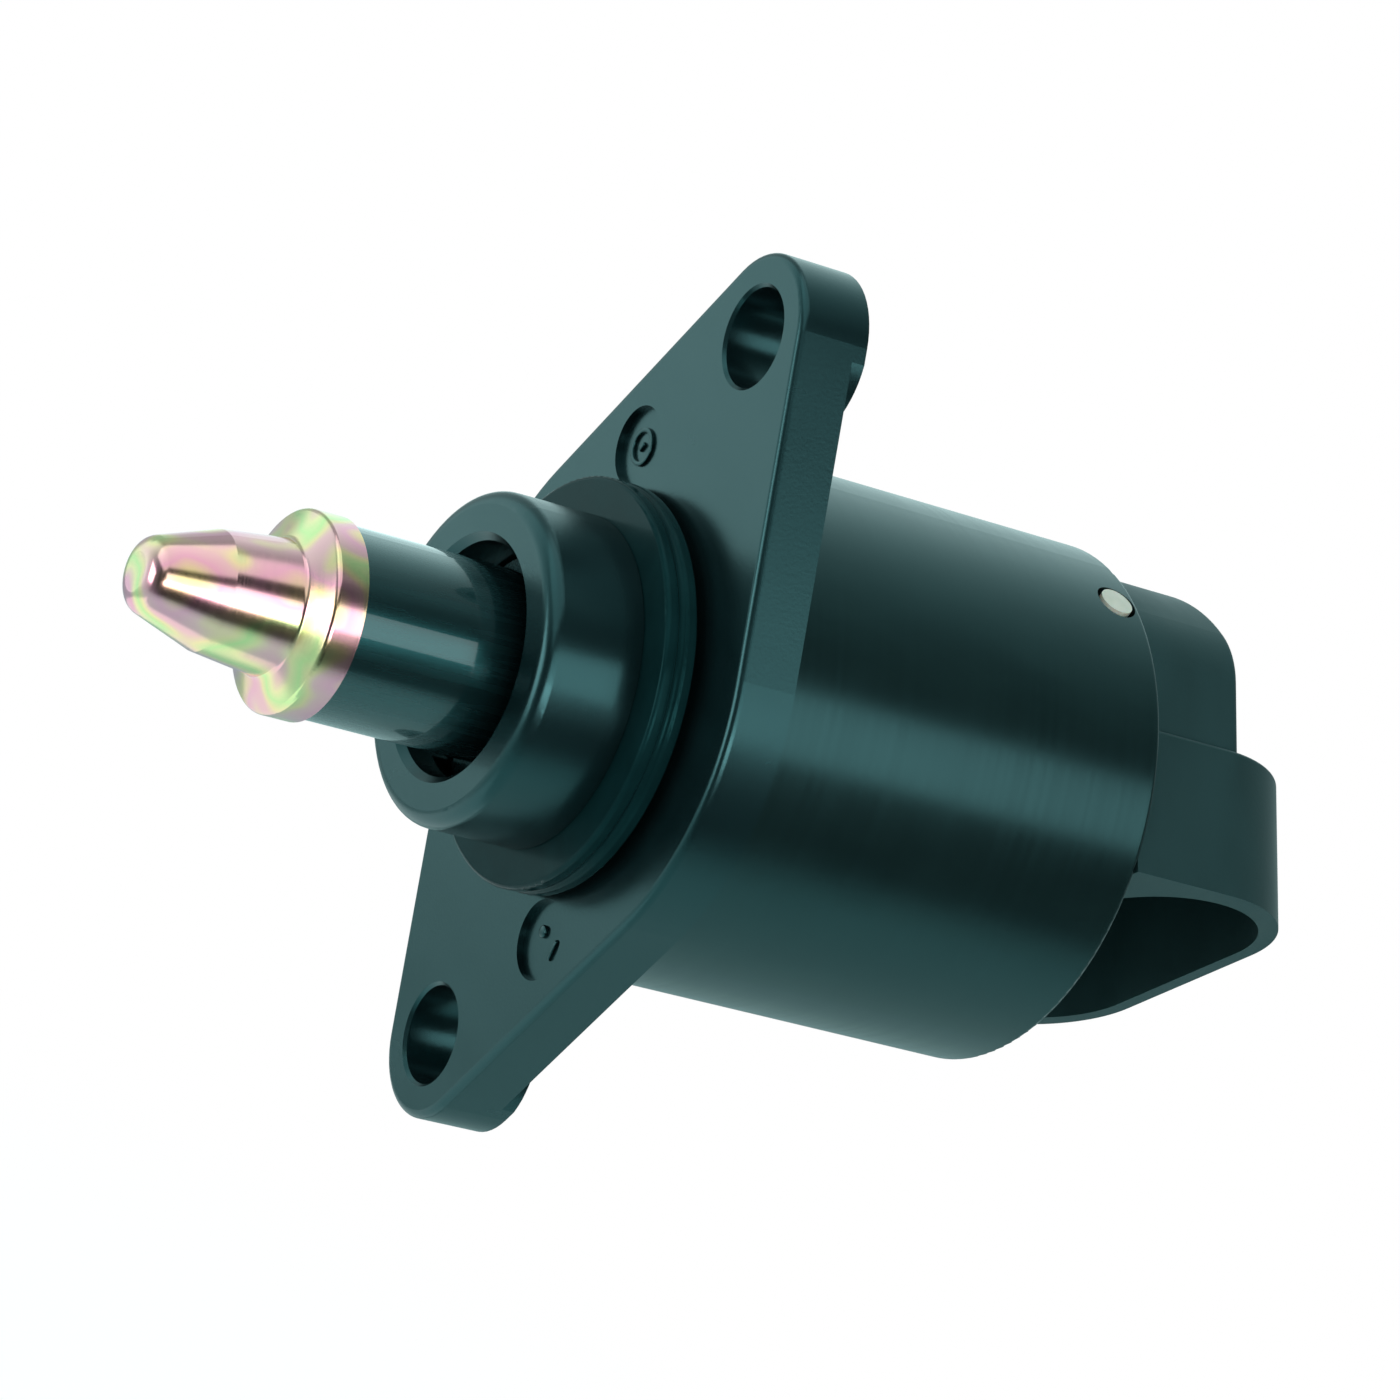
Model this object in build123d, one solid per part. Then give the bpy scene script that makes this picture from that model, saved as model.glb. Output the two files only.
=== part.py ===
from build123d import *
import os

# Idle air control valve: a small stepper motor whose nut drives a cone-ended plunger out of a flanged nose.
# The origin is the centre of the mounting face, on the valve's axis. X runs back along the valve, Z runs
# through the two screw holes, and the connector opens half way between -Y and -Z. Lengths are in millimetres.

# Flange
hole_spacing = 50.0
screw_hole_r = 3.2
hole_chamfer = 0.2
lobe_r = 5.4
flange_r = 17.6
flange_t = 4.0
lobe_boss = 0.9
boss_margin = 0.1
flange_edge = 0.5
recess_r = 2.6
recess_depth = 0.45
recess_y = 7.1
recess_z = 14.1

# Nose and its seal
nose_r = 10.7
nose_len = 9.6
nose_edge = 1.0
bore_r = 7.5
bore_chamfer = 0.45
seal_back = 0.5
seal_len = 2.3
seal_h = 2.85
seal_groove = 0.4
lip_w = 0.8
lip_valley = 0.4
lip_round = 0.3

# Plunger, cone and their travel from the photographed place
plunger_r = 6.1
plunger_edge = 0.2
collar_back = 3.4
collar_len = 2.6
key_w = 2.8
key_height = 1.2
travel_out = 1.0
travel_in = 8.0
stop_room = 0.4
cone_back = 19.8
band_r = 6.45
band_len = 2.1
flare_len = 0.9
stem_r = 4.35
stem_len = 4.5
waist_r = 3.8
taper_len = 4.9
tip_r = 2.2
tip_edge = 1.3
cone_edge = 0.35
screw_r = 2.5
screw_grip = 4.7
screw_tail = 18.0
screw_chamfer = 0.5

# Can and its window
can_r = 17.15
can_wall = 0.8
can_len = 27.7
can_edge = 0.35
can_lip = 1.3
window_r = 1.4
window_inset = 1.75
window_turn = 15.3
peg_r = 1.12
peg_shift = 0.15
peg_turn = 14.7
peg_depth = 4.0
peg_recess = 0.05

# Rear cap and connector
connector_turn = 45.0
cap_len = 8.95
flat_depth = 2.0
flat_round = 6.0
cap_edge = 0.5
cap_base = 2.95
neck_len = 0.25
shroud_proud = 0.8
shroud_depth = 15.4
shroud_corner = 8.0
shroud_top = 0.75
shroud_edge = 0.3
mouth_reach = 9.25
side_wall = 1.6
front_wall = 1.0
rear_wall = 1.05
floor_wall = 1.4
socket_step = 2.0
socket_w = 5.6
socket_inset = 4.65
socket_depth = 8.6
socket_corner = 1.4

# Terminals
pin_count = 4
pin_pitch = 5.0
pin_w = 1.5
pin_t = 0.8
pin_reach = 11.0
pin_root = 1.6
pin_chamfer = 0.3

# Front ball bearing
bearing_bore_r = 4.5
bearing_r = 8.5
bearing_w = 5.0
race_t = 1.45
ball_r = 1.4
ball_count = 8
cage_t = 0.6
cage_land = 0.45

# Rotor, rear bush and thrust washer
magnet_share = 0.18
shoulder_h = 1.0
shoulder_len = 0.6
journal_r = 4.0
bush_t = 1.6
bush_len = 2.6
washer_t = 0.6

# Stator
sheet = 0.7
claw_count = 10
claw_base = 2.7
claw_tip = 1.5
claw_gap = 0.8
bobbin_wall = 0.6
coil_share = 0.24
winding_room = 0.7

# Clearances
seat_gap = 0.05
slide_gap = 0.25
running_gap = 0.05
thread_gap = 0.15
ball_gap = 0.1
air_gap = 0.35
end_gap = 0.2

# How far a cutting body runs past the face it opens
overcut = 1.0

# Places along the axis that several pieces share
seat_x = travel_in - collar_back + stop_room
seat_end = seat_x + bearing_w
can_end = flange_t + can_len
can_in = can_r - can_wall
lip_x = can_end - can_wall
base_x = lip_x - seat_gap - cap_base
stack_x = seat_end + 2 * end_gap
stack_end = base_x - end_gap
unit_len = (stack_end - stack_x - seat_gap) / 2
register_end = stack_x - end_gap
window_x = can_end - window_inset
peg_x = window_x + peg_shift

# Radii that several pieces share
fit_r = can_in - seat_gap
lip_r = can_r - can_lip
cap_r = lip_r - seat_gap
cap_flat = cap_r - flat_depth
collar_r = bore_r - slide_gap
key_r = collar_r + key_height
pitch_r = (bearing_bore_r + bearing_r) / 2
coil_h = coil_share * can_in
magnet_t = magnet_share * can_in
bobbin_r = fit_r - sheet - end_gap
coil_r = bobbin_r - winding_room
core_r = coil_r - coil_h - seat_gap - bobbin_wall
pole_r = core_r - seat_gap - sheet
magnet_r = pole_r - air_gap
hub_r = magnet_r - magnet_t - seat_gap
bush_r = journal_r + running_gap + bush_t
peg_root = can_r - peg_recess - peg_depth

# Shroud and socket, measured back from the can's rear edge and out from the axis towards the mouth
shroud_half = cap_flat + shroud_proud
shroud_x = can_end + seat_gap
shroud_end = can_end + shroud_depth
cavity_x = can_end + front_wall
cavity_end = shroud_end - rear_wall
cavity_r = (cavity_end - cavity_x) / 2
cavity_half = shroud_half - side_wall
cavity_floor = floor_wall - shroud_top
socket_half = cavity_half - socket_step
socket_x = can_end + socket_inset
socket_floor = cavity_floor - socket_depth

mouth_way = Vector(0, 0, -1).rotate(Axis.X, -connector_turn)
connector = Plane((0, 0, 0), x_dir=(1, 0, 0), z_dir=mouth_way)
mouth_axis = Axis((0, 0, 0), mouth_way)


def turned(*points):
    """Solid of revolution about the valve's axis, from points (place along the axis, radius)."""
    return revolve(Plane.XZ * make_face(Polyline(*points, close=True)), Axis.X)


def ring(x0, x1, r0, r1):
    """Plain ring between two places along the axis and two radii."""
    return turned((x0, r0), (x1, r0), (x1, r1), (x0, r1))


def rod(x0, x1, r):
    """Plain round bar along the axis."""
    return turned((x0, 0), (x1, 0), (x1, r), (x0, r))


def rims(body, x, r):
    """Round edges of a turned body at one place along the axis and one radius."""
    circles = body.edges().filter_by(GeomType.CIRCLE)
    return circles.filter_by(lambda e: abs(e.arc_center.X - x) < 1e-4 and abs(e.radius - r) < 1e-4)


def spread(body, count, start=0.0):
    """Copies of a body turned evenly about the axis."""
    return [Rot(start + 360.0 * i / count, 0, 0) * body for i in range(count)]


def radial(x, turn):
    """Place on the axis whose own Z points outwards at an angle from Z towards -Y."""
    return Pos(x, 0, 0) * Rot(turn, 0, 0)


def key_pair(x0, x1, width, reach):
    """Two opposite bars across the axis, for the guide keys and their slots."""
    bar = Box(x1 - x0, width, 2 * reach)
    return Pos((x0 + x1) / 2, 0, 0) * bar


def flange_housing():
    """Flange with lobes, nose tube and motor seat, moulded in one piece."""
    lobes = GridLocations(0, hole_spacing, 1, 2) * Circle(lobe_r)
    outline = make_hull((Circle(flange_r) + lobes).edges())
    bosses = GridLocations(0, hole_spacing, 1, 2) * Circle(lobe_r + boss_margin)
    relief = Rectangle(4 * flange_r, 2 * hole_spacing) - bosses
    boss_end = flange_t + lobe_boss
    body = extrude(Plane.YZ * outline, boss_end)
    body -= extrude(Plane.YZ.offset(flange_t) * relief, lobe_boss + overcut)
    front = body.faces().sort_by(Axis.X)[0]
    body = fillet(front.outer_wire().edges(), flange_edge)
    nose = rod(-nose_len, flange_t, nose_r)
    nose = fillet(rims(nose, -nose_len, nose_r), nose_edge)
    groove_x = -seal_back - seal_len - 2 * seat_gap
    body += nose - ring(groove_x, -seal_back, nose_r - seal_groove, nose_r + overcut)
    body += rod(flange_t / 2, register_end, fit_r)
    mouth_r = bore_r + bore_chamfer
    body -= turned(
        (-nose_len - overcut, 0),
        (-nose_len - overcut, mouth_r),
        (-nose_len, mouth_r),
        (bore_chamfer - nose_len, bore_r),
        (seat_x, bore_r),
        (seat_x, bearing_r + seat_gap),
        (register_end + overcut, bearing_r + seat_gap),
        (register_end + overcut, 0),
    )
    slot_x = -(collar_back + collar_len + travel_out + stop_room)
    body -= key_pair(slot_x, seat_x, key_w + 2 * slide_gap, key_r + slide_gap)
    for side in (1, -1):
        hole = Pos(0, 0, side * hole_spacing / 2) * turned(
            (-overcut, 0),
            (-overcut, screw_hole_r + hole_chamfer),
            (0, screw_hole_r + hole_chamfer),
            (hole_chamfer, screw_hole_r),
            (boss_end + overcut, screw_hole_r),
            (boss_end + overcut, 0),
        )
        dish = Pos(0, side * recess_y, side * recess_z) * rod(-overcut, recess_depth, recess_r)
        body -= hole + dish
    return body


def nose_seal():
    """Rubber ring in the nose's groove, with two round lips around its outside."""
    back = -seal_back - seat_gap
    front = back - seal_len
    r0 = nose_r - seal_groove + seat_gap
    r1 = r0 + seal_h
    profile = make_face(Polyline(
        (front, r0),
        (front, r1),
        (front + lip_w, r1),
        ((front + back) / 2, r1 - lip_valley),
        (back - lip_w, r1),
        (back, r1),
        (back, r0),
        close=True,
    ))
    profile = fillet(profile.vertices().sort_by(Axis.Y)[2:], lip_round)
    return revolve(Plane.XZ * profile, Axis.X)


def valve_cone():
    """Turned cone in two tapers, with a flared band where it meets the plunger."""
    band_x = -cone_back - band_len
    stem_x = band_x - flare_len
    waist_x = stem_x - stem_len
    tip_x = waist_x - taper_len
    body = turned(
        (tip_x, 0),
        (tip_x, tip_r),
        (waist_x, waist_r),
        (stem_x, stem_r),
        (band_x, band_r),
        (-cone_back, band_r),
        (-cone_back, 0),
    )
    body = fillet(rims(body, tip_x, tip_r), tip_edge)
    body = fillet(rims(body, stem_x, stem_r) + rims(body, band_x, band_r), cone_edge)
    return body - rod(-cone_back - screw_grip - end_gap, overcut - cone_back, screw_r + seat_gap)


def plunger():
    """Moulded plunger, with a keyed guide collar at its rear and the screw through it."""
    collar_x = -collar_back - collar_len
    body = rod(-cone_back, -collar_back, plunger_r)
    body = fillet(rims(body, -cone_back, plunger_r), plunger_edge)
    body += rod(collar_x, -collar_back, collar_r)
    body += key_pair(collar_x, -collar_back, key_w, key_r) & rod(collar_x, -collar_back, key_r)
    return body - rod(-cone_back - overcut, overcut - collar_back, screw_r + seat_gap)


def lead_screw():
    """Steel screw from the cone, through the plunger, into the rotor's nut."""
    body = rod(-cone_back - screw_grip, screw_tail, screw_r)
    return chamfer(rims(body, screw_tail, screw_r), screw_chamfer)


def cross_bar(x, turn, r, r0, r1):
    """Round bar that points outwards from the axis, for the can's window and its peg."""
    return radial(x, turn) * Pos(0, 0, (r0 + r1) / 2) * Cylinder(r, r1 - r0)


def motor_can():
    """Drawn can, pushed over the housing's register, its rear edge turned in over the cap."""
    body = rod(flange_t, can_end, can_r)
    body = fillet(rims(body, can_end, can_r), can_edge)
    body -= rod(flange_t - overcut, lip_x, can_in)
    body -= rod(flange_t, can_end + overcut, lip_r)
    return body - cross_bar(window_x, window_turn, window_r, lip_r - overcut, can_r + overcut)


def locating_peg():
    """Pale peg through the can's window into the cap's base, to one side of the window."""
    return cross_bar(peg_x, peg_turn, peg_r, peg_root, peg_root + peg_depth)


def slab(x0, x1, half, c0, c1):
    """Box in the connector's own directions: along the axis, across it, and towards the mouth."""
    face = Pos((x0 + x1) / 2, 0) * Rectangle(x1 - x0, 2 * half)
    return extrude(connector.offset(c0) * face, c1 - c0)


def terminal(number):
    """Blade in the socket, bent forward through the cap's base."""
    place = (number - (pin_count - 1) / 2) * pin_pitch
    root = socket_floor - pin_root
    blade = slab(socket_x - pin_t / 2, socket_x + pin_t / 2, pin_w / 2, root, socket_floor + pin_reach)
    tip = blade.faces().sort_by(mouth_axis)[-1]
    blade = chamfer(tip.edges(), pin_chamfer)
    leg = slab(base_x, socket_x, pin_w / 2, root, root + pin_t)
    return Pos(connector.y_dir * place) * (blade + leg)


def connector_cap(blades):
    """Rear moulding: base in the can, round cap with two flats, and an oval shroud open to one side."""
    cap_end = can_end + cap_len
    block = rod(base_x, cap_end, cap_r) & slab(base_x, cap_end, cap_flat, -cap_r, cavity_floor)
    block = fillet(block.edges().filter_by(Axis.X).sort_by(mouth_axis)[:2], flat_round)
    rear = block.faces().sort_by(Axis.X)[-1]
    block = fillet(rear.edges().sort_by(mouth_axis)[:-1], cap_edge)
    outline = Pos((shroud_x + shroud_end) / 2, 0) * Rectangle(shroud_end - shroud_x, 2 * shroud_half)
    outline = fillet(outline.vertices().sort_by(Axis.X)[-2:], shroud_corner)
    shroud = extrude(connector.offset(-shroud_top) * outline, shroud_top + mouth_reach)
    top = shroud.faces().sort_by(mouth_axis)[0]
    shroud = fillet(top.edges().sort_by(Axis.X)[1:], shroud_edge)
    base = rod(base_x, lip_x - seat_gap, fit_r) + rod(base_x, can_end + neck_len, cap_r)
    body = base + block + shroud
    oval = Pos((cavity_x + cavity_end) / 2, 0) * Rot(0, 0, 90) * SlotOverall(2 * cavity_half, 2 * cavity_r)
    body -= extrude(connector.offset(cavity_floor) * oval, mouth_reach - cavity_floor + overcut)
    nest = Pos(socket_x, 0) * RectangleRounded(socket_w, 2 * socket_half, socket_corner)
    body -= extrude(connector.offset(socket_floor) * nest, socket_depth + overcut)
    body -= rod(base_x - overcut, base_x + bush_len + end_gap, bush_r + seat_gap)
    body -= cross_bar(peg_x, peg_turn, peg_r + seat_gap, peg_root - seat_gap, can_r + overcut)
    for blade in blades:
        body -= blade
    return body


def race(r0, r1):
    """Bearing ring with a groove for the balls."""
    body = ring(seat_x, seat_end, r0, r1)
    groove = Rot(0, 90, 0) * Torus(pitch_r, ball_r + ball_gap)
    return body - Pos((seat_x + seat_end) / 2, 0, 0) * groove


def bearing_balls():
    """Ring of balls, kept apart by the cage."""
    ball = Pos((seat_x + seat_end) / 2, 0, pitch_r) * Sphere(ball_r)
    return Compound(children=spread(ball, ball_count))


def bearing_cage():
    """Thin ring with a round pocket for each ball."""
    half = ball_r + ball_gap + cage_land
    middle = (seat_x + seat_end) / 2
    body = ring(middle - half, middle + half, pitch_r - cage_t / 2, pitch_r + cage_t / 2)
    pocket = Pos(middle, 0, pitch_r) * Cylinder(ball_r + ball_gap, 4 * cage_t)
    for tool in spread(pocket, ball_count):
        body -= tool
    return body


def rotor_nut():
    """Rotor hub: front journal for the bearing, seat for the magnet, rear journal, thread through it."""
    hub_x = register_end + end_gap + shoulder_len
    hub_end = base_x - seat_gap - washer_t - end_gap
    body = rod(seat_x, base_x + bush_len - end_gap, journal_r)
    body += rod(seat_x, seat_end, bearing_bore_r - seat_gap)
    body += rod(seat_end, hub_x, bearing_bore_r + shoulder_h)
    body += rod(hub_x, hub_end, hub_r)
    return body - rod(seat_x - overcut, can_end, screw_r + thread_gap)


def rotor_magnet():
    """Ring magnet on the hub."""
    x0 = register_end + end_gap + shoulder_len
    x1 = base_x - seat_gap - washer_t - 2 * end_gap
    return ring(x0, x1, hub_r + seat_gap, magnet_r)


def claw_sheet(x, inward, reach, turn, outer_r):
    """Pressed sheet with a ring of tapered claws that point along the axis."""
    body = ring(min(x, x + inward * sheet), max(x, x + inward * sheet), pole_r, outer_r)
    tip_x = x + inward * reach
    claw = make_face(Polyline(
        (x, claw_base / 2),
        (tip_x, claw_tip / 2),
        (tip_x, -claw_tip / 2),
        (x, -claw_base / 2),
        close=True,
    ))
    tube = ring(min(x, tip_x), max(x, tip_x), pole_r, pole_r + sheet)
    claw = extrude(claw, pole_r + 2 * sheet) & tube
    for copy in spread(claw, claw_count, turn):
        body += copy
    return body


def stator_cup(x, inward):
    """Outer half of one stator unit: claws, end disc and the wall that carries the flux."""
    end = x + inward * unit_len
    body = claw_sheet(x, inward, unit_len - sheet - claw_gap, 0, fit_r)
    return body + ring(min(x, end), max(x, end), fit_r - sheet, fit_r)


def stator_plate(x, inward):
    """Inner half of one stator unit: flat sheet inside the cup's wall, claws between the cup's claws."""
    half_pitch = 180.0 / claw_count
    return claw_sheet(x, inward, unit_len - sheet - claw_gap, half_pitch, fit_r - sheet - seat_gap)


def bobbin(x):
    """Coil former between the sheets of one stator unit."""
    x0 = x + sheet + seat_gap
    x1 = x + unit_len - sheet - seat_gap
    body = ring(x0, x1, core_r, bobbin_r)
    return body - ring(x0 + bobbin_wall, x1 - bobbin_wall, core_r + bobbin_wall, bobbin_r + overcut)


def winding(x):
    """Copper coil on one former."""
    x0 = x + sheet + 2 * seat_gap + bobbin_wall
    x1 = x + unit_len - sheet - 2 * seat_gap - bobbin_wall
    return ring(x0, x1, coil_r - coil_h, coil_r)


def rear_bush():
    """Sintered bush in the cap's base, for the rear journal."""
    return ring(base_x, base_x + bush_len, journal_r + running_gap, bush_r)


def thrust_washer():
    """Washer that keeps the rotor off the bush."""
    return ring(base_x - seat_gap - washer_t, base_x - seat_gap, journal_r + 2 * running_gap, bush_r)


rear_unit = stack_x + unit_len + seat_gap
blades = [terminal(i) for i in range(pin_count)]
pieces = {
    "flange_housing": flange_housing(),
    "nose_seal": nose_seal(),
    "motor_can": motor_can(),
    "locating_peg": locating_peg(),
    "connector_cap": connector_cap(blades),
    "front_stator_cup": stator_cup(stack_x, 1),
    "front_stator_plate": stator_plate(stack_x + unit_len, -1),
    "rear_stator_plate": stator_plate(rear_unit, 1),
    "rear_stator_cup": stator_cup(rear_unit + unit_len, -1),
    "front_bobbin": bobbin(stack_x),
    "rear_bobbin": bobbin(rear_unit),
    "front_winding": winding(stack_x),
    "rear_winding": winding(rear_unit),
    "bearing_outer_race": race(bearing_r - race_t, bearing_r),
    "bearing_inner_race": race(bearing_bore_r, bearing_bore_r + race_t),
    "bearing_balls": bearing_balls(),
    "bearing_cage": bearing_cage(),
    "rotor_nut": rotor_nut(),
    "rotor_magnet": rotor_magnet(),
    "rear_bush": rear_bush(),
    "thrust_washer": thrust_washer(),
    "plunger": plunger(),
    "valve_cone": valve_cone(),
    "lead_screw": lead_screw(),
}
for number, blade in enumerate(blades, start=1):
    pieces[f"terminal_{number}"] = blade

os.makedirs("parts", exist_ok=True)
for name, solid in pieces.items():
    export_step(solid, f"parts/{name}.step")
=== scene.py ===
import bpy
import math
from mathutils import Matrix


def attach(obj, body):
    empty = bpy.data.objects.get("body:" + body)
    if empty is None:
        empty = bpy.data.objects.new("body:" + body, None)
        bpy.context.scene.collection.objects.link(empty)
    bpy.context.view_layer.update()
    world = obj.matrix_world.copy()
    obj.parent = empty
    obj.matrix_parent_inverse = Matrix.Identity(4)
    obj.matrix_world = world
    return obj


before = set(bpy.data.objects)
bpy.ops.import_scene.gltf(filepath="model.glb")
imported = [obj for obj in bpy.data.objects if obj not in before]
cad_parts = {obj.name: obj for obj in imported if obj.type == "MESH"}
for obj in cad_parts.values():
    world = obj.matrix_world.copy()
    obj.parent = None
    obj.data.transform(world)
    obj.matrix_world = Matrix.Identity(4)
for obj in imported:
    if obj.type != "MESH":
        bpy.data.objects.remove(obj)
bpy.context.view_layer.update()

# Flange housing: the black front moulding, a diamond flange with a round nose that goes into its bore.
# Injection moulded in glass-filled plastic, so it is a satin black with a fine grain and faint flow marks.
# It is held to the engine by two screws, and it carries everything behind it.
mm = 0.001
grain_low, grain_high = 0.3, 0.7
housing_black = (0.0022, 0.0062, 0.0070)
housing_flow = (0.0034, 0.0092, 0.0104)
housing_gloss_tint = (0.36, 0.95, 1.0, 1.0)
flow_mark_size = (14.0, 14.0, 5.0)
skin_grain_size = (0.22, 0.22, 0.22)
skin_grain_depth = 0.004


def start_finish(name, **fixed):
    """A node material with its shader's plain settings; grain, colour and relief are wired in afterwards."""
    finish = bpy.data.materials.new(name)
    finish.use_nodes = True
    shader = finish.node_tree.nodes["Principled BSDF"]
    for setting, value in fixed.items():
        shader.inputs[setting.replace("_", " ")].default_value = value
    return finish


def grain(finish, lengths, detail=3.0, moved=(0.0, 0.0, 0.0)):
    """Irregular grain from 0 to 1, its marks as long in mm along the valve, across it and up as given."""
    tree = finish.node_tree
    place = tree.nodes.new("ShaderNodeTexCoord")
    stretch = tree.nodes.new("ShaderNodeMapping")
    stretch.inputs["Scale"].default_value = [1.0 / (length * mm) for length in lengths]
    stretch.inputs["Location"].default_value = moved
    noise = tree.nodes.new("ShaderNodeTexNoise")
    noise.inputs["Scale"].default_value = 1.0
    noise.inputs["Detail"].default_value = detail
    tree.links.new(place.outputs["Object"], stretch.inputs["Vector"])
    tree.links.new(stretch.outputs["Vector"], noise.inputs["Vector"])
    return noise.outputs["Fac"]


def tones(finish, value, *stops):
    """Turns a value into a colour that runs through the stops, each a place from 0 to 1 and a colour."""
    ramp = finish.node_tree.nodes.new("ShaderNodeValToRGB")
    steps = ramp.color_ramp.elements
    while len(steps) < len(stops):
        steps.new(0.5)
    for step, (place, colour) in zip(steps, sorted(stops)):
        step.position = place
        step.color = (*colour, 1.0)
    finish.node_tree.links.new(value, ramp.inputs["Fac"])
    return ramp.outputs["Color"]


def spread(finish, value, at_low, at_high):
    """Spreads the middle of a grain over a range of numbers, from its low end to its high end."""
    span = finish.node_tree.nodes.new("ShaderNodeMapRange")
    span.inputs["From Min"].default_value = grain_low
    span.inputs["From Max"].default_value = grain_high
    span.inputs["To Min"].default_value = at_low
    span.inputs["To Max"].default_value = at_high
    finish.node_tree.links.new(value, span.inputs["Value"])
    return span.outputs["Result"]


def wire_in(finish, setting, value):
    """Leads a colour or a number into the finish's shader."""
    shader = finish.node_tree.nodes["Principled BSDF"]
    finish.node_tree.links.new(value, shader.inputs[setting])


def relief(finish, height, depth):
    """Raises the surface by a grain, depth in mm from its lowest to its highest, over any relief it has."""
    shader = finish.node_tree.nodes["Principled BSDF"]
    bump = finish.node_tree.nodes.new("ShaderNodeBump")
    bump.inputs["Distance"].default_value = depth * mm
    earlier = shader.inputs["Normal"].links
    if earlier:
        finish.node_tree.links.new(earlier[0].from_socket, bump.inputs["Normal"])
    finish.node_tree.links.new(height, bump.inputs["Height"])
    wire_in(finish, "Normal", bump.outputs["Normal"])


def dress(finish, *names):
    """Puts a finish on the parts named."""
    for name in names:
        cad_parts[name].data.materials[0] = finish


satin_black = start_finish("satin_black_moulding", Specular_IOR_Level=0.88, Specular_Tint=housing_gloss_tint)
flow_marks = grain(satin_black, flow_mark_size)
skin_grain = grain(satin_black, skin_grain_size)
wire_in(satin_black, "Base Color",
        tones(satin_black, flow_marks, (0.35, housing_black), (0.65, housing_flow)))
wire_in(satin_black, "Roughness", spread(satin_black, flow_marks, at_low=0.22, at_high=0.28))
relief(satin_black, skin_grain, skin_grain_depth)
dress(satin_black, "flange_housing")

# Moulding marks: small raised figures in the flange's two round dishes, from the mould's inserts.
# They are moulded in one with the flange, in the same black plastic, and stay below its face.
# One dish has a ring round a short rib, the other a rib beside a round pip.
dish_floor = 0.45 * mm
dish_y, dish_z = 7.1 * mm, 14.1 * mm
mark_height = 0.2 * mm
mark_root = 0.03 * mm
mark_depth = mark_height + mark_root
mark_foot = dish_floor + mark_root
mark_middle = dish_floor + (mark_root - mark_height) / 2
mark_edge = 0.06 * mm
mark_edge_steps = 2
smooth_below = math.radians(40)
front_facing = -0.9
ring_inner, ring_outer = 0.95 * mm, 1.25 * mm
ring_sides = 48
rib_width = 0.3 * mm
rib_draft = 0.85
ringed_rib_length, ringed_rib_lean = 0.7 * mm, math.radians(20)
lower_rib_length = 1.5 * mm
lower_rib_y, lower_rib_z = -dish_y - 1.4 * mm, -dish_z + 0.1 * mm
pip_radius = 0.42 * mm
pip_sides = 32
pip_y, pip_z = -dish_y + 0.5 * mm, -dish_z + 0.4 * mm
crown_inset, crown_rise = 0.2 * mm, 0.04 * mm


def settle(piece):
    """Puts a piece's place and turn into its mesh, so that its object sits at the origin."""
    bpy.ops.object.select_all(action="DESELECT")
    piece.select_set(True)
    bpy.context.view_layer.objects.active = piece
    bpy.ops.object.transform_apply(location=True, rotation=True, scale=True)


def open_front(piece):
    """Opens a mark for editing with only its front face selected."""
    bpy.ops.object.mode_set(mode="EDIT")
    bpy.ops.mesh.select_mode(type="FACE")
    bpy.ops.mesh.select_all(action="DESELECT")
    bpy.ops.object.mode_set(mode="OBJECT")
    for side in piece.data.polygons:
        side.select = side.normal.x < front_facing
    bpy.ops.object.mode_set(mode="EDIT")


def round_edges(piece):
    """Closes a mark's editing, rounds its edges with a bevel and shades it smooth."""
    bpy.ops.object.mode_set(mode="OBJECT")
    bevel = piece.modifiers.new("edge", "BEVEL")
    bevel.width = mark_edge
    bevel.segments = mark_edge_steps
    bevel.limit_method = "ANGLE"
    bpy.context.view_layer.objects.active = piece
    bpy.ops.object.modifier_apply(modifier=bevel.name)
    bpy.ops.object.shade_smooth_by_angle(angle=smooth_below)


def make_ring(y, z):
    """A flat raised ring on the dish's floor: a circle drawn out to a band and then raised."""
    bpy.ops.object.select_all(action="DESELECT")
    bpy.ops.mesh.primitive_circle_add(vertices=ring_sides, radius=ring_inner, fill_type="NOTHING",
                                      location=(mark_foot, y, z), rotation=(0, math.radians(-90), 0))
    ring = bpy.context.object
    settle(ring)
    bpy.ops.object.mode_set(mode="EDIT")
    bpy.ops.mesh.select_all(action="SELECT")
    bpy.ops.mesh.extrude_edges_move()
    wider = ring_outer / ring_inner
    bpy.ops.transform.resize(value=(1.0, wider, wider), center_override=(mark_foot, y, z))
    bpy.ops.mesh.select_all(action="SELECT")
    bpy.ops.mesh.extrude_region_move(TRANSFORM_OT_translate={"value": (-mark_depth, 0, 0)})
    bpy.ops.mesh.select_all(action="SELECT")
    bpy.ops.mesh.normals_make_consistent(inside=False)
    round_edges(ring)
    return ring


def make_rib(y, z, length, lean):
    """A short raised rib on the dish's floor, its top drawn in a little for the mould's draft."""
    bpy.ops.object.select_all(action="DESELECT")
    bpy.ops.mesh.primitive_cube_add(size=1.0, location=(mark_middle, y, z), rotation=(lean, 0, 0),
                                    scale=(mark_depth, rib_width, length))
    rib = bpy.context.object
    settle(rib)
    open_front(rib)
    bpy.ops.transform.resize(value=(1.0, rib_draft, rib_draft), center_override=(mark_middle, y, z))
    round_edges(rib)
    return rib


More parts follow.
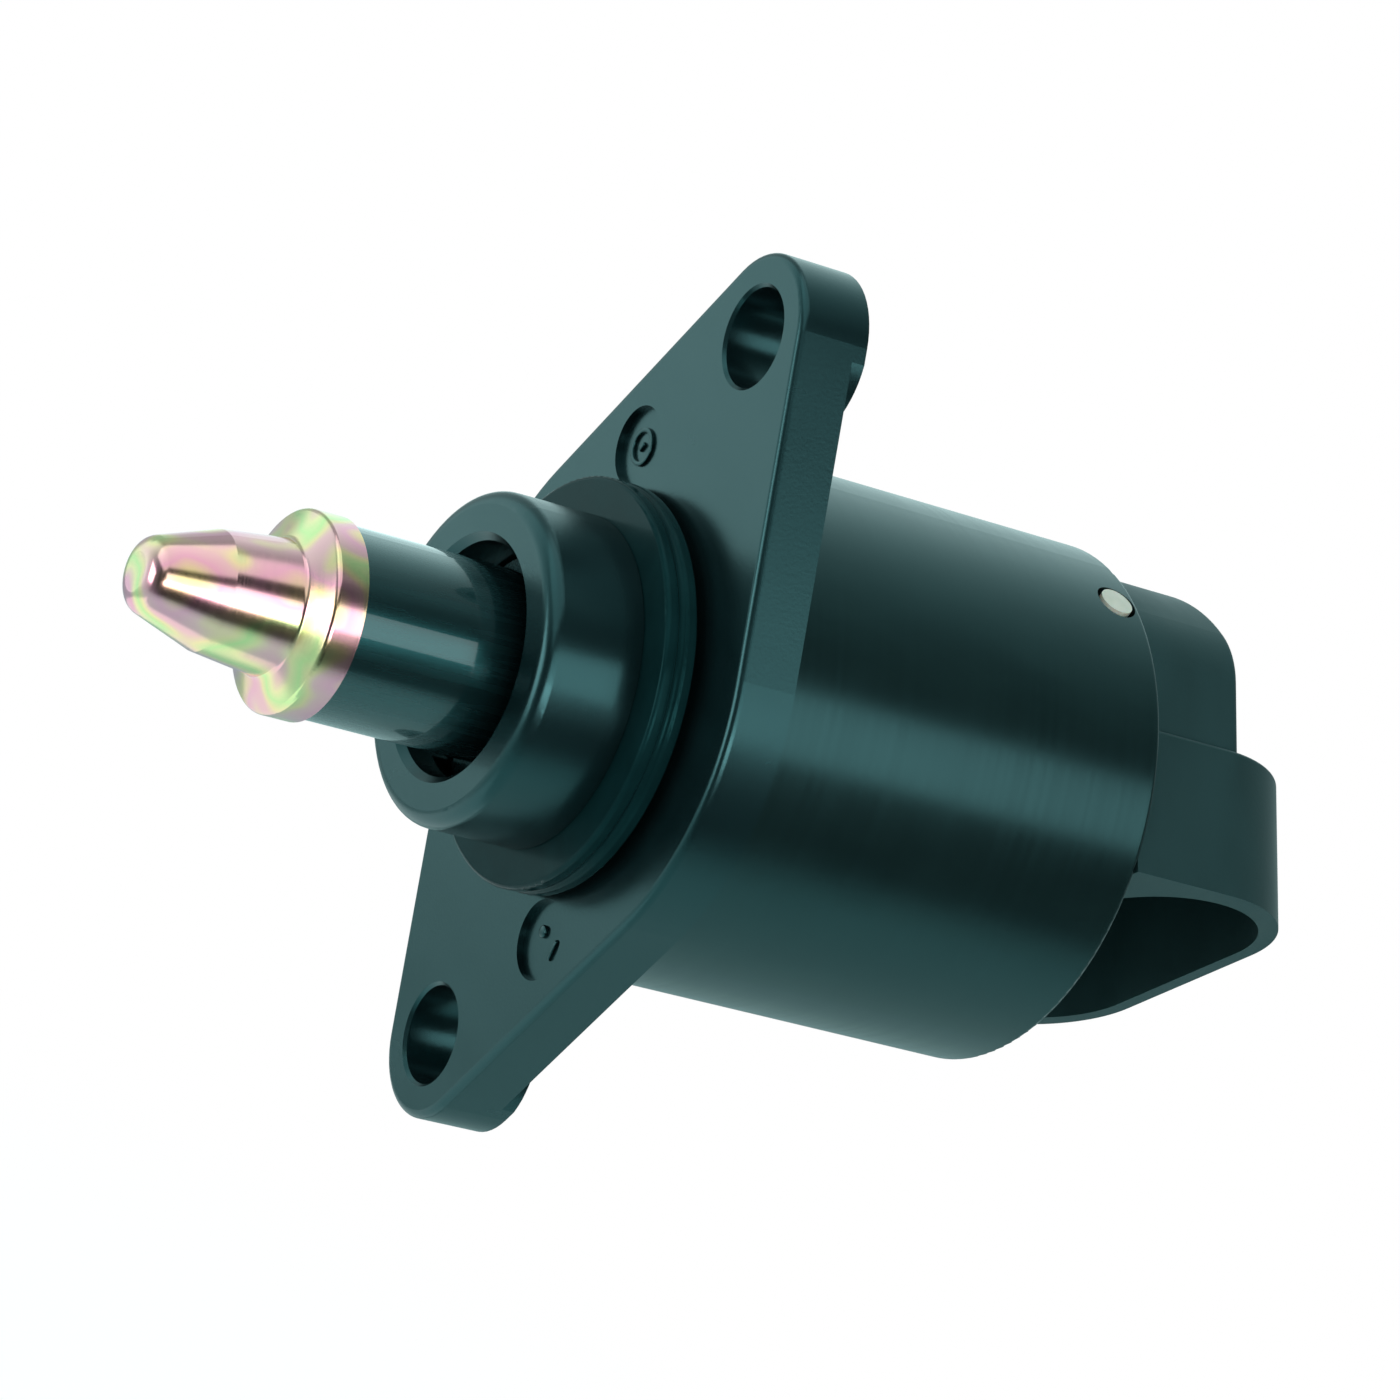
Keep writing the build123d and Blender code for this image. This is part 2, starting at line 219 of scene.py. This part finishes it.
def make_pip(y, z):
    """A round pip on the dish's floor with a crowned top."""
    bpy.ops.object.select_all(action="DESELECT")
    bpy.ops.mesh.primitive_cylinder_add(vertices=pip_sides, radius=pip_radius, depth=mark_depth,
                                        location=(mark_middle, y, z), rotation=(0, math.radians(90), 0))
    pip = bpy.context.object
    settle(pip)
    open_front(pip)
    bpy.ops.mesh.inset(thickness=crown_inset)
    bpy.ops.transform.translate(value=(-crown_rise, 0, 0))
    round_edges(pip)
    return pip


def join_marks(name, marks):
    """Joins the figures of one dish into one piece of the flange's plastic that rides on the housing."""
    bpy.ops.object.select_all(action="DESELECT")
    for mark in marks:
        mark.select_set(True)
    bpy.context.view_layer.objects.active = marks[0]
    bpy.ops.object.join()
    piece = bpy.context.object
    piece.name = name
    settle(piece)
    piece.data.materials.clear()
    piece.data.materials.append(satin_black)
    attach(piece, "housing")


join_marks("upper_mould_mark", [make_ring(dish_y, dish_z),
                                make_rib(dish_y, dish_z, ringed_rib_length, ringed_rib_lean)])
join_marks("lower_mould_mark", [make_rib(lower_rib_y, lower_rib_z, lower_rib_length, lean=0.0),
                                make_pip(pip_y, pip_z)])

# Nose seal: the ring with two lips that seals the nose in its bore.
# Moulded in black nitrile rubber and stretched into the groove at the root of the nose.
rubber_black = (0.0034, 0.0172, 0.0188)
rubber_bloom = (0.0046, 0.0226, 0.0246)
rubber_gloss_tint = (0.2, 0.95, 1.0, 1.0)
bloom_size = (3.0, 3.0, 3.0)
rubber_grain_size = (0.3, 0.3, 0.3)
rubber_grain_depth = 0.004
rubber = start_finish("nitrile_rubber", IOR=1.18, Specular_IOR_Level=0.62, Specular_Tint=rubber_gloss_tint)
bloom = grain(rubber, bloom_size)
wire_in(rubber, "Base Color",
        tones(rubber, bloom, (0.35, rubber_black), (0.7, rubber_bloom)))
wire_in(rubber, "Roughness", spread(rubber, bloom, at_low=0.14, at_high=0.22))
relief(rubber, grain(rubber, rubber_grain_size), rubber_grain_depth)
dress(rubber, "nose_seal")

# Ball bearing: the two races and the balls of the rotor's front bearing, in ground and polished steel.
# Its cage is snapped in from natural nylon. The outer race is pressed into the back of the flange housing.
steel_shade = (0.50, 0.51, 0.52)
steel_light = (0.60, 0.60, 0.60)
steel_cloud_size = (5.0, 5.0, 5.0)
grinding_size = (0.05, 4.0, 4.0)
grinding_depth = 0.001
ground_steel = start_finish("ground_bearing_steel", Metallic=1.0)
grinding = grain(ground_steel, grinding_size)
steel_cloud = grain(ground_steel, steel_cloud_size)
wire_in(ground_steel, "Base Color",
        tones(ground_steel, steel_cloud, (0.35, steel_shade), (0.65, steel_light)))
wire_in(ground_steel, "Roughness", spread(ground_steel, grinding, at_low=0.14, at_high=0.26))
relief(ground_steel, grinding, grinding_depth)
dress(ground_steel, "bearing_outer_race", "bearing_inner_race", "bearing_balls")

nylon_shade = (0.58, 0.53, 0.40)
nylon_light = (0.66, 0.62, 0.49)
nylon_cloud_size = (2.0, 2.0, 2.0)
natural_nylon = start_finish("natural_nylon", Subsurface_Weight=0.1, Subsurface_Scale=0.001)
nylon_cloud = grain(natural_nylon, nylon_cloud_size)
wire_in(natural_nylon, "Base Color",
        tones(natural_nylon, nylon_cloud, (0.35, nylon_shade), (0.65, nylon_light)))
wire_in(natural_nylon, "Roughness", spread(natural_nylon, nylon_cloud, at_low=0.36, at_high=0.46))
dress(natural_nylon, "bearing_cage")

# Rotor nut: the hub of the rotor, which is the nut of the lead screw and turns in the bearing's inner race.
# Moulded in the same natural nylon as the bearing's cage.
dress(natural_nylon, "rotor_nut")

# Rotor magnet: the ring of ferrite pressed on the rotor nut, magnetised in poles round its rim.
# Sintered, so it is a dull dark grey with fine pits, ground on its outside.
pit_grey = (0.012, 0.012, 0.013)
ferrite_grey = (0.030, 0.030, 0.032)
ground_grey = (0.045, 0.044, 0.045)
pit_size = (0.15, 0.15, 0.15)
pit_depth = 0.01
ferrite = start_finish("sintered_ferrite")
pits = grain(ferrite, pit_size, detail=5.0)
wire_in(ferrite, "Base Color",
        tones(ferrite, pits, (0.3, pit_grey), (0.5, ferrite_grey), (0.75, ground_grey)))
wire_in(ferrite, "Roughness", spread(ferrite, pits, at_low=0.65, at_high=0.5))
relief(ferrite, pits, pit_depth)
dress(ferrite, "rotor_magnet")

# Stator: two cups and two plates with claw poles that stand round the magnet.
# Pressed from bright zinc-plated sheet steel, with the drawing lines of the press along them.
sheet_shade = (0.44, 0.45, 0.47)
sheet_light = (0.56, 0.57, 0.58)
sheet_cloud_size = (3.0, 3.0, 3.0)
press_line_size = (1.5, 0.08, 0.08)
press_line_depth = 0.002
sheet_steel = start_finish("plated_sheet_steel", Metallic=1.0)
press_lines = grain(sheet_steel, press_line_size)
sheet_cloud = grain(sheet_steel, sheet_cloud_size)
wire_in(sheet_steel, "Base Color",
        tones(sheet_steel, sheet_cloud, (0.35, sheet_shade), (0.65, sheet_light)))
wire_in(sheet_steel, "Roughness", spread(sheet_steel, press_lines, at_low=0.28, at_high=0.42))
relief(sheet_steel, press_lines, press_line_depth)
dress(sheet_steel, "front_stator_cup", "front_stator_plate", "rear_stator_plate", "rear_stator_cup")

# Bobbins and locating peg: cream nylon mouldings. The bobbins carry the coils inside the stator,
# and the peg goes through the window of the can into the cap's base and keeps the cap from turning.
cream_shade = (0.52, 0.54, 0.45)
cream_light = (0.60, 0.61, 0.53)
cream_cloud_size = (1.2, 1.2, 1.2)
cream_nylon = start_finish("cream_nylon", Subsurface_Weight=0.15, Subsurface_Scale=0.001)
cream_cloud = grain(cream_nylon, cream_cloud_size)
wire_in(cream_nylon, "Base Color",
        tones(cream_nylon, cream_cloud, (0.35, cream_shade), (0.65, cream_light)))
wire_in(cream_nylon, "Roughness", spread(cream_nylon, cream_cloud, at_low=0.3, at_high=0.42))
dress(cream_nylon, "front_bobbin", "rear_bobbin", "locating_peg")

# Windings: two coils of enamelled copper wire wound on the bobbins, turn beside turn.
# Each turn is a fine round rib; painted shade darkens its gap and sides, a painted highlight lightens its
# crest.
wire_pitch = 0.22 * mm
wire_gap_depth = 0.06
wire_gap_painted_shade = (0.16, 0.045, 0.015)
wire_side_copper_painted_shade = (0.60, 0.21, 0.08)
wire_crest_copper_painted_highlight = (0.74, 0.31, 0.14)
enamel_size = (1.0, 3.0, 3.0)


def along_valve(finish, pitch, turning=0.0):
    """A wave from 0 to 1 along the valve, one to each pitch; turning winds it round the axis as a thread."""
    tree = finish.node_tree
    place = tree.nodes.new("ShaderNodeTexCoord")
    parts = tree.nodes.new("ShaderNodeSeparateXYZ")
    tree.links.new(place.outputs["Object"], parts.inputs["Vector"])
    angle = tree.nodes.new("ShaderNodeMath")
    angle.operation = "ARCTAN2"
    tree.links.new(parts.outputs["Z"], angle.inputs[0])
    tree.links.new(parts.outputs["Y"], angle.inputs[1])
    phase = tree.nodes.new("ShaderNodeMath")
    phase.operation = "MULTIPLY"
    phase.inputs[1].default_value = turning
    tree.links.new(angle.outputs["Value"], phase.inputs[0])
    run = tree.nodes.new("ShaderNodeMath")
    run.operation = "MULTIPLY_ADD"
    run.inputs[1].default_value = 2 * math.pi / pitch
    tree.links.new(parts.outputs["X"], run.inputs[0])
    tree.links.new(phase.outputs["Value"], run.inputs[2])
    wave = tree.nodes.new("ShaderNodeMath")
    wave.operation = "SINE"
    tree.links.new(run.outputs["Value"], wave.inputs[0])
    rise = tree.nodes.new("ShaderNodeMath")
    rise.operation = "MULTIPLY_ADD"
    rise.inputs[1].default_value = 0.5
    rise.inputs[2].default_value = 0.5
    tree.links.new(wave.outputs["Value"], rise.inputs[0])
    return rise.outputs["Value"]


magnet_wire = start_finish("enamelled_copper_wire", Metallic=1.0, Coat_Weight=0.5, Coat_Roughness=0.15)
wire_turns = along_valve(magnet_wire, wire_pitch)
enamel = grain(magnet_wire, enamel_size)
# The turn wave paints shade into the copper: dark brown in the gap, darker on the sides, lightest on the
# crest.
wire_in(magnet_wire, "Base Color",
        tones(magnet_wire, wire_turns,
              (0.05, wire_gap_painted_shade), (0.45, wire_side_copper_painted_shade), (1.0, wire_crest_copper_painted_highlight)))
wire_in(magnet_wire, "Roughness", spread(magnet_wire, enamel, at_low=0.22, at_high=0.36))
relief(magnet_wire, wire_turns, wire_gap_depth)
dress(magnet_wire, "front_winding", "rear_winding")

# Rear bush and thrust washer: the rotor's tail runs in the bush, and the washer keeps the rotor off it.
# The bush is sintered bronze soaked in oil, a brown gold with dark pores, and is pressed into the cap.
# The washer is loose, of the bearing's ground steel.
pore_brown = (0.10, 0.05, 0.02)
bronze_shade = (0.44, 0.25, 0.10)
bronze_light = (0.55, 0.33, 0.14)
pore_size = (0.12, 0.12, 0.12)
pore_depth = 0.006
bronze = start_finish("sintered_bronze", Metallic=1.0)
pores = grain(bronze, pore_size, detail=4.0)
wire_in(bronze, "Base Color",
        tones(bronze, pores, (0.3, pore_brown), (0.45, bronze_shade), (0.75, bronze_light)))
wire_in(bronze, "Roughness", spread(bronze, pores, at_low=0.5, at_high=0.34))
relief(bronze, pores, pore_depth)
dress(bronze, "rear_bush")
dress(ground_steel, "thrust_washer")

# Plunger: the round slide that carries the cone and is kept from turning by two keys in the nose's bore.
# Moulded in black acetal with a polished skin, so it mirrors the nose and the lamps.
acetal_black = (0.0022, 0.0064, 0.0070)
acetal_drawn = (0.0032, 0.0090, 0.0098)
acetal_gloss_tint = (0.2, 0.95, 1.0, 1.0)
draw_mark_size = (9.0, 0.5, 0.5)
draw_mark_depth = 0.0003
polished_black = start_finish("polished_black_acetal",
                              Specular_IOR_Level=0.9, Specular_Tint=acetal_gloss_tint,
                              Coat_Weight=1.0, Coat_Roughness=0.05)
draw_marks = grain(polished_black, draw_mark_size)
wire_in(polished_black, "Base Color",
        tones(polished_black, draw_marks, (0.35, acetal_black), (0.65, acetal_drawn)))
wire_in(polished_black, "Roughness", spread(polished_black, draw_marks, at_low=0.24, at_high=0.3))
relief(polished_black, draw_marks, draw_mark_depth)
dress(polished_black, "plunger")

# Valve cone: the stepped tip that closes the air passage, turned from steel and pressed on the lead screw.
# Zinc plated and passivated, so its gold breaks into pink and green patches, with fine turning rings.
pale_gold = (0.98, 0.72, 0.36)
pink = (0.98, 0.46, 0.57)
rose = (0.98, 0.55, 0.55)
warm_gold = (0.98, 0.74, 0.42)
leaf_green = (0.68, 0.82, 0.38)
straw = (0.96, 0.80, 0.44)
film_patch_size = (9.0, 6.0, 6.0)
film_patch_place = (14.8, 5.5, 9.1)
turning_ring_size = (0.10, 30.0, 30.0)
turning_ring_depth = 0.0008
passivated = start_finish("yellow_passivated_zinc", Metallic=1.0)
film = grain(passivated, film_patch_size, detail=1.5, moved=film_patch_place)
turning_rings = grain(passivated, turning_ring_size, detail=2.0)
wire_in(passivated, "Base Color",
        tones(passivated, film,
              (0.36, pale_gold), (0.42, pink), (0.47, rose), (0.50, warm_gold),
              (0.54, leaf_green), (0.59, straw), (0.65, pink)))
wire_in(passivated, "Roughness", spread(passivated, turning_rings, at_low=0.15, at_high=0.22))
relief(passivated, turning_rings, turning_ring_depth)
dress(passivated, "valve_cone")

# Lead screw: the steel screw that the rotor nut drives in and out, rolled with a thread of 1 mm pitch.
# It goes through the plunger into the cone; painted shade darkens the thread's root and a painted highlight
# its crest.
screw_pitch = 1.0 * mm
thread_depth = 0.25
thread_turning = -1.0
thread_root_painted_shade = (0.30, 0.30, 0.31)
thread_side_painted_shade = (0.52, 0.52, 0.53)
thread_crest_painted_highlight = (0.62, 0.62, 0.62)
rolling_size = (0.6, 0.3, 0.3)
rolled_thread = start_finish("rolled_screw_steel", Metallic=1.0)
thread = along_valve(rolled_thread, screw_pitch, thread_turning)
rolling = grain(rolled_thread, rolling_size)
# The thread wave paints shade into the steel: darkest in the root, lightest on the crest.
wire_in(rolled_thread, "Base Color",
        tones(rolled_thread, thread,
              (0.1, thread_root_painted_shade), (0.6, thread_side_painted_shade), (1.0, thread_crest_painted_highlight)))
wire_in(rolled_thread, "Roughness", spread(rolled_thread, rolling, at_low=0.2, at_high=0.34))
relief(rolled_thread, thread, thread_depth)
dress(rolled_thread, "lead_screw")

# Motor can: the deep-drawn steel can round the motor, pushed over the housing's register behind the flange.
# Its rear edge is turned in over the cap.
# Coated black all over, with faint rings from its drawing under the coat.
can_black = (0.0026, 0.0064, 0.0063)
can_flow = (0.0040, 0.0098, 0.0096)
can_gloss_tint = (0.37, 0.95, 1.0, 1.0)
coat_flow_size = (8.0, 3.0, 3.0)
drawing_ring_size = (0.4, 40.0, 40.0)
drawing_ring_depth = 0.0004
coat_grain_size = (0.5, 0.5, 0.5)
coat_grain_depth = 0.0015
coated_steel = start_finish("black_coated_steel", Specular_IOR_Level=0.8, Specular_Tint=can_gloss_tint)
drawing_rings = grain(coated_steel, drawing_ring_size, detail=2.0)
coat_flow = grain(coated_steel, coat_flow_size)
wire_in(coated_steel, "Base Color",
        tones(coated_steel, coat_flow, (0.35, can_black), (0.65, can_flow)))
wire_in(coated_steel, "Roughness", spread(coated_steel, drawing_rings, at_low=0.22, at_high=0.26))
relief(coated_steel, drawing_rings, drawing_ring_depth)
relief(coated_steel, grain(coated_steel, coat_grain_size), coat_grain_depth)
dress(coated_steel, "motor_can")

# Connector cap: the black rear moulding with the oval shroud of the plug socket.
# Glass-filled plastic with a slightly coarser skin than the flange, held by the can's turned edge.
cap_black = (0.0080, 0.0190, 0.0195)
cap_flow_black = (0.0108, 0.0255, 0.0265)
cap_gloss_tint = (0.4, 0.95, 1.0, 1.0)
cap_flow_size = (4.0, 9.0, 9.0)
cap_grain_size = (0.25, 0.25, 0.25)
cap_grain_depth = 0.006
matt_black = start_finish("matt_black_moulding", Specular_IOR_Level=0.65, Specular_Tint=cap_gloss_tint)
cap_flow = grain(matt_black, cap_flow_size)
wire_in(matt_black, "Base Color",
        tones(matt_black, cap_flow, (0.35, cap_black), (0.65, cap_flow_black)))
wire_in(matt_black, "Roughness", spread(matt_black, cap_flow, at_low=0.45, at_high=0.55))
relief(matt_black, grain(matt_black, cap_grain_size), cap_grain_depth)
dress(matt_black, "connector_cap")

# Terminals: four flat blades that stand in the plug socket and bend forward through the cap's base.
# Stamped from tinned brass strip, brushed along their length, and moulded into the cap.
tin_shade = (0.60, 0.58, 0.52)
tin_light = (0.72, 0.71, 0.67)
strip_line_size = (0.1, 2.5, 2.5)
strip_line_depth = 0.002
tinned_brass = start_finish("tinned_brass", Metallic=1.0)
strip_lines = grain(tinned_brass, strip_line_size)
wire_in(tinned_brass, "Base Color",
        tones(tinned_brass, strip_lines, (0.35, tin_shade), (0.65, tin_light)))
wire_in(tinned_brass, "Roughness", spread(tinned_brass, strip_lines, at_low=0.2, at_high=0.34))
relief(tinned_brass, strip_lines, strip_line_depth)
dress(tinned_brass, "terminal_1", "terminal_2", "terminal_3", "terminal_4")

# Camera: the photograph's own place, in front of the valve, to its left and a little above.
# A long lens keeps the valve nearly free of perspective, and the camera is tilted so that the valve leans.
focal_length, sensor_width = 161.94, 36.0
camera_place = (-0.194247, -0.321118, 0.114192)
camera_turn_degrees = (71.8129, -24.0128, -24.5481)
lens = bpy.data.cameras.new("photo_lens")
lens.lens = focal_length
lens.sensor_width = sensor_width
camera = bpy.data.objects.new("photo_camera", lens)
camera.location = camera_place
camera.rotation_euler = [math.radians(turn) for turn in camera_turn_degrees]
bpy.context.scene.collection.objects.link(camera)
bpy.context.scene.camera = camera

# Floor: a plain pale sheet well below the valve, which takes its soft shadow and throws cool light back.
# Away from the valve it is the white of the background for the camera and lets the room's light through,
# and it is clear from below.
floor_drop, floor_size, floor_cells = 0.16, 6.0, 4
shadow_fades_from, shadow_fades_to = 0.12, 0.32
sheet_fades_from, sheet_fades_to = 0.25, 0.5
sheet_centre = (0.0, 0.1, 0.0)
sheet_seen = (0.71, 0.68, 0.68, 1.0)
sheet_mirrored = (0.45, 0.64, 0.64, 1.0)
lift_always, lift_when_seen = 0.06, 0.49
colour_socket_off, colour_socket_on, colour_socket_out = 6, 7, 2


def fade_out(tree, distance, start, end):
    """Goes smoothly from 0 to 1 as a distance goes from its start to its end."""
    fade = tree.nodes.new("ShaderNodeMapRange")
    fade.interpolation_type = "SMOOTHSTEP"
    fade.inputs["From Min"].default_value = start
    fade.inputs["From Max"].default_value = end
    tree.links.new(distance, fade.inputs["Value"])
    return fade.outputs["Result"]


def blend(tree, share, off, on):
    """Blends two shaders, the first where the share is 0 and the second where it is 1."""
    mixed = tree.nodes.new("ShaderNodeMixShader")
    tree.links.new(share, mixed.inputs["Fac"])
    tree.links.new(off, mixed.inputs[1])
    tree.links.new(on, mixed.inputs[2])
    return mixed.outputs["Shader"]


bpy.ops.object.select_all(action="DESELECT")
bpy.ops.mesh.primitive_grid_add(x_subdivisions=floor_cells, y_subdivisions=floor_cells, size=floor_size,
                                location=(0, 0, -floor_drop))
floor = bpy.context.object
floor.name = "floor"
paper = bpy.data.materials.new("white_paper")
paper.use_nodes = True
tree = paper.node_tree
tree.nodes.clear()
path = tree.nodes.new("ShaderNodeLightPath")
seen = path.outputs["Is Camera Ray"]
place = tree.nodes.new("ShaderNodeTexCoord")

from_valve = tree.nodes.new("ShaderNodeVectorMath")
from_valve.operation = "LENGTH"
tree.links.new(place.outputs["Object"], from_valve.inputs[0])
from_centre = tree.nodes.new("ShaderNodeVectorMath")
from_centre.operation = "DISTANCE"
from_centre.inputs[1].default_value = sheet_centre
tree.links.new(place.outputs["Object"], from_centre.inputs[0])
fading = tree.nodes.new("ShaderNodeMix")
tree.links.new(seen, fading.inputs["Factor"])
sheet_fade = fade_out(tree, from_centre.outputs["Value"], sheet_fades_from, sheet_fades_to)
shadow_fade = fade_out(tree, from_valve.outputs["Value"], shadow_fades_from, shadow_fades_to)
tree.links.new(sheet_fade, fading.inputs["A"])
tree.links.new(shadow_fade, fading.inputs["B"])

shade = tree.nodes.new("ShaderNodeMix")
shade.data_type = "RGBA"
shade.inputs[colour_socket_off].default_value = sheet_mirrored
shade.inputs[colour_socket_on].default_value = sheet_seen
tree.links.new(seen, shade.inputs[0])
sheet = tree.nodes.new("ShaderNodeBsdfDiffuse")
tree.links.new(shade.outputs[colour_socket_out], sheet.inputs["Color"])
lift_strength = tree.nodes.new("ShaderNodeMath")
lift_strength.operation = "MULTIPLY_ADD"
lift_strength.inputs[1].default_value = lift_when_seen
lift_strength.inputs[2].default_value = lift_always
tree.links.new(seen, lift_strength.inputs[0])
lift = tree.nodes.new("ShaderNodeEmission")
tree.links.new(lift_strength.outputs["Value"], lift.inputs["Strength"])
near = tree.nodes.new("ShaderNodeAddShader")
tree.links.new(sheet.outputs["BSDF"], near.inputs[0])
tree.links.new(lift.outputs["Emission"], near.inputs[1])

white = tree.nodes.new("ShaderNodeEmission")
white.inputs["Strength"].default_value = 1.0
clear = tree.nodes.new("ShaderNodeBsdfTransparent")
far = blend(tree, seen, clear.outputs["BSDF"], white.outputs["Emission"])
from_above = blend(tree, fading.outputs["Result"], near.outputs["Shader"], far)
side = tree.nodes.new("ShaderNodeNewGeometry")
both_sides = blend(tree, side.outputs["Backfacing"], from_above, clear.outputs["BSDF"])
surface = tree.nodes.new("ShaderNodeOutputMaterial")
tree.links.new(both_sides, surface.inputs["Surface"])
floor.data.materials.append(paper)

# Room: a white background behind the valve, brightest in two panels left and right of its middle,
# that falls off to a dim room behind the camera. The camera itself sees plain white all round.
dim_end = (0.0, -0.954, 0.301)
room_red = 0.73
room_light = ((0.0, 1.25), (0.25, 1.08), (0.5, 0.55), (0.7, 0.22), (0.84, 0.07))
dim_light = (0.04, 0.05, 0.05)
panel_light = ((0.0, 0.45), (0.2, 0.45), (0.38, 1.0), (0.62, 1.0), (0.85, 0.65))
world = bpy.data.worlds.new("studio_room")
bpy.context.scene.world = world
world.use_nodes = True
tree = world.node_tree
tree.nodes.clear()
toward = tree.nodes.new("ShaderNodeTexCoord")

facing = tree.nodes.new("ShaderNodeVectorMath")
facing.operation = "DOT_PRODUCT"
facing.inputs[1].default_value = dim_end
tree.links.new(toward.outputs["Generated"], facing.inputs[0])
to_dim_end = tree.nodes.new("ShaderNodeMapRange")
to_dim_end.inputs["From Min"].default_value = -1.0
to_dim_end.inputs["From Max"].default_value = 1.0
tree.links.new(facing.outputs["Value"], to_dim_end.inputs["Value"])
falloff_stops = [(place, (light * room_red, light, light)) for place, light in room_light]
falloff = tones(world, to_dim_end.outputs["Result"], *falloff_stops, (1.0, dim_light))

ways = tree.nodes.new("ShaderNodeSeparateXYZ")
tree.links.new(toward.outputs["Generated"], ways.inputs["Vector"])
aside = tree.nodes.new("ShaderNodeMath")
aside.operation = "ABSOLUTE"
tree.links.new(ways.outputs["X"], aside.inputs[0])
panel_stops = [(place, (light, light, light)) for place, light in panel_light]
panels = tones(world, aside.outputs["Value"], *panel_stops)

panelled = tree.nodes.new("ShaderNodeVectorMath")
panelled.operation = "MULTIPLY"
tree.links.new(falloff, panelled.inputs[0])
tree.links.new(panels, panelled.inputs[1])
room = tree.nodes.new("ShaderNodeBackground")
tree.links.new(panelled.outputs["Vector"], room.inputs["Color"])
plain = tree.nodes.new("ShaderNodeBackground")
plain.inputs["Color"].default_value = (1.0, 1.0, 1.0, 1.0)
path = tree.nodes.new("ShaderNodeLightPath")
all_round = blend(tree, path.outputs["Is Camera Ray"],
                  room.outputs["Background"], plain.outputs["Background"])
sky = tree.nodes.new("ShaderNodeOutputWorld")
tree.links.new(all_round, sky.inputs["Surface"])

# Lamps: a wide softbox in front draws the band of light along the can, and a low one the cone's streak.
# One overhead, one on the left and a lit card flat below light the cone's sides and the rounded edges,
# and a weak fill only lifts the matt surfaces.


def hang_softbox(name, place, width, height, radiance, red=1.0):
    """A square-cornered softbox facing the valve, as bright as its radiance; less red cools its white."""
    lamp = bpy.data.lights.new(name, "AREA")
    lamp.shape = "RECTANGLE"
    lamp.size = width
    lamp.size_y = height
    lamp.energy = radiance * math.pi * width * height
    lamp.color = (red, 1.0, 1.0)
    softbox = bpy.data.objects.new(name, lamp)
    softbox.location = place
    softbox.rotation_euler = (-softbox.location).to_track_quat("-Z", "Y").to_euler()
    softbox.visible_camera = False
    bpy.context.scene.collection.objects.link(softbox)
    return softbox


hang_softbox("wide_softbox", place=(0.09, -0.482, 0.232), width=0.62, height=0.252, radiance=1.9, red=0.9)
hang_softbox("low_softbox", place=(-0.02, -0.50, 0.09), width=0.44, height=0.12, radiance=4.2)
hang_softbox("overhead_softbox", place=(-0.18, -0.06, 0.60), width=0.75, height=0.85, radiance=0.84, red=0.9)
card = hang_softbox("white_card", place=(-0.09, 0.09, -0.155), width=0.24, height=0.28, radiance=0.48)
card.rotation_euler = (math.pi, 0.0, 0.0)
hang_softbox("left_softbox", place=(-0.60, 0.03, 0.02), width=0.35, height=0.25, radiance=3.0)
fill = hang_softbox("fill", place=(-0.3, -1.0, 0.7), width=1.0, height=1.0, radiance=1.2, red=0.9)
fill.visible_glossy = False

# Colours are shown as they are written, with no film look.
scene = bpy.context.scene
scene.view_settings.view_transform = "Standard"
